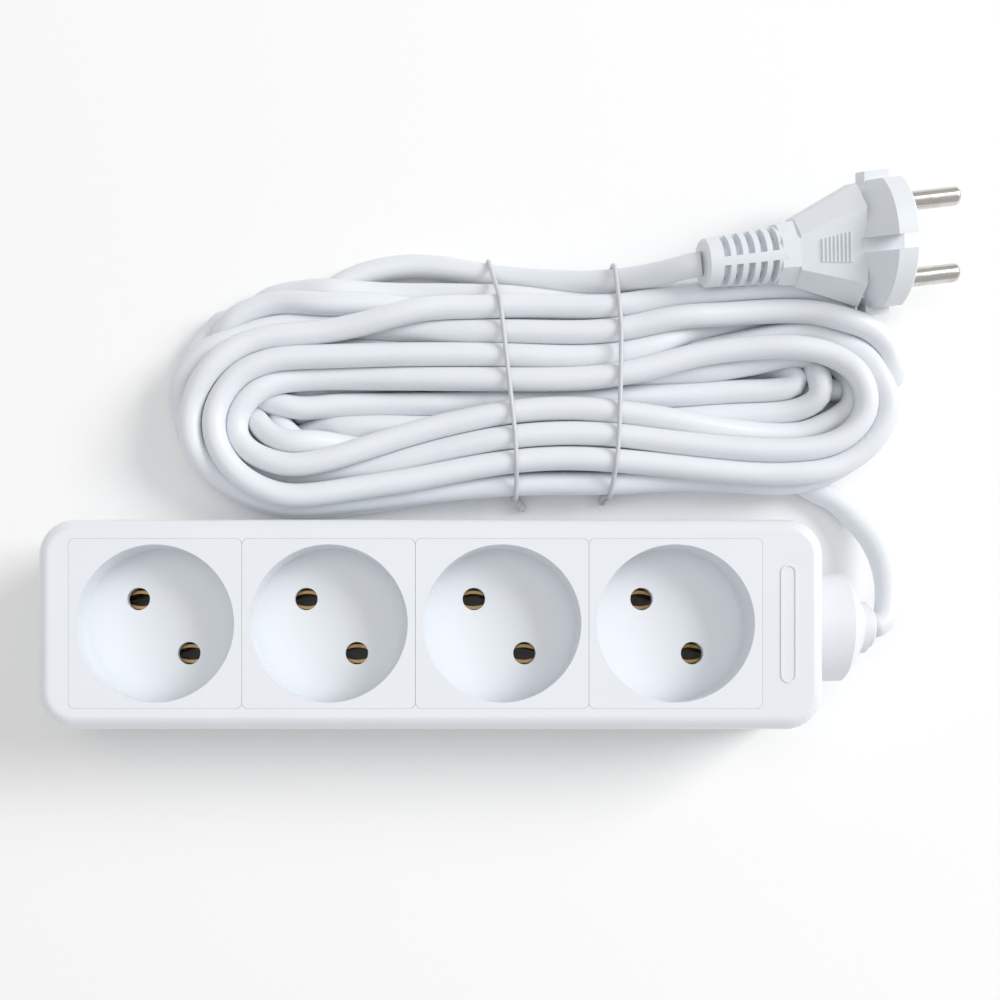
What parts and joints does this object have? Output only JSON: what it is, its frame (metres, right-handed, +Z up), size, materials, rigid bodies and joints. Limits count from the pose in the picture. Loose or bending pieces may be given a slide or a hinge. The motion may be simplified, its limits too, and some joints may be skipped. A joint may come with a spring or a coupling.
{
  "type": "extension cord",
  "caption": "Low white power strip with round unearthed socket recesses, a stepped cord gland, a long round lead folded into a tied hank, and a moulded two-pin plug.",
  "frame": {"origin": "middle of the housing's footprint, on the surface that it stands on", "axes": "+X along the housing towards the gland where the lead leaves, +Y across it towards the folded lead, +Z up out of the sockets"},
  "size_m": [0.2368, 0.1434, 0.0365],
  "materials": {
    "housing_plastic": "smooth white moulded plastic with a soft gloss",
    "insert_plastic": "smooth white moulded plastic, satin",
    "base_plastic": "white moulded plastic, finely textured",
    "gland_plastic": "soft white moulded plastic",
    "clamp_plastic": "natural moulded plastic",
    "contact_brass": "rolled brass strip",
    "terminal_brass": "machined brass",
    "screw_steel": "zinc-plated steel",
    "cord_sheath": "soft white cable sheath with a faint sheen",
    "core_brown": "brown wire insulation",
    "core_blue": "blue wire insulation",
    "copper": "stranded copper",
    "tie_coating": "white coated wire",
    "plug_plastic": "soft white moulded plastic, finely textured",
    "bridge_plastic": "hard moulded carrier",
    "pin_nickel": "bright nickel plate"
  },
  "bodies": {
    "root": {"top_cover": "housing_plastic", "base_cover": "base_plastic", "socket_insert_1": "insert_plastic", "socket_insert_2": "insert_plastic", "socket_insert_3": "insert_plastic", "socket_insert_4": "insert_plastic", "live_leaf_outer": "contact_brass", "live_leaf_inner": "contact_brass", "neutral_leaf_outer": "contact_brass", "neutral_leaf_inner": "contact_brass", "rail_rivets": "terminal_brass", "live_terminal": "terminal_brass", "neutral_terminal": "terminal_brass", "terminal_screws": "screw_steel", "housing_screws": "screw_steel", "cord_clamp": "clamp_plastic", "clamp_screws": "screw_steel", "cord_gland": "gland_plastic", "sheath_end": "cord_sheath", "brown_core": "core_brown", "blue_core": "core_blue", "core_ends": "copper", "cord_tail": "cord_sheath", "cord_hank": "cord_sheath", "cord_lead": "cord_sheath", "wire_tie_1": "tie_coating", "wire_tie_2": "tie_coating", "plug_body": "plug_plastic", "plug_bridge": "bridge_plastic", "plug_pin_1": "pin_nickel", "plug_pin_2": "pin_nickel", "plug_crimps": "terminal_brass", "plug_brown_core": "core_brown", "plug_blue_core": "core_blue", "plug_sheath_end": "cord_sheath"}
  },
  "joints": []
}
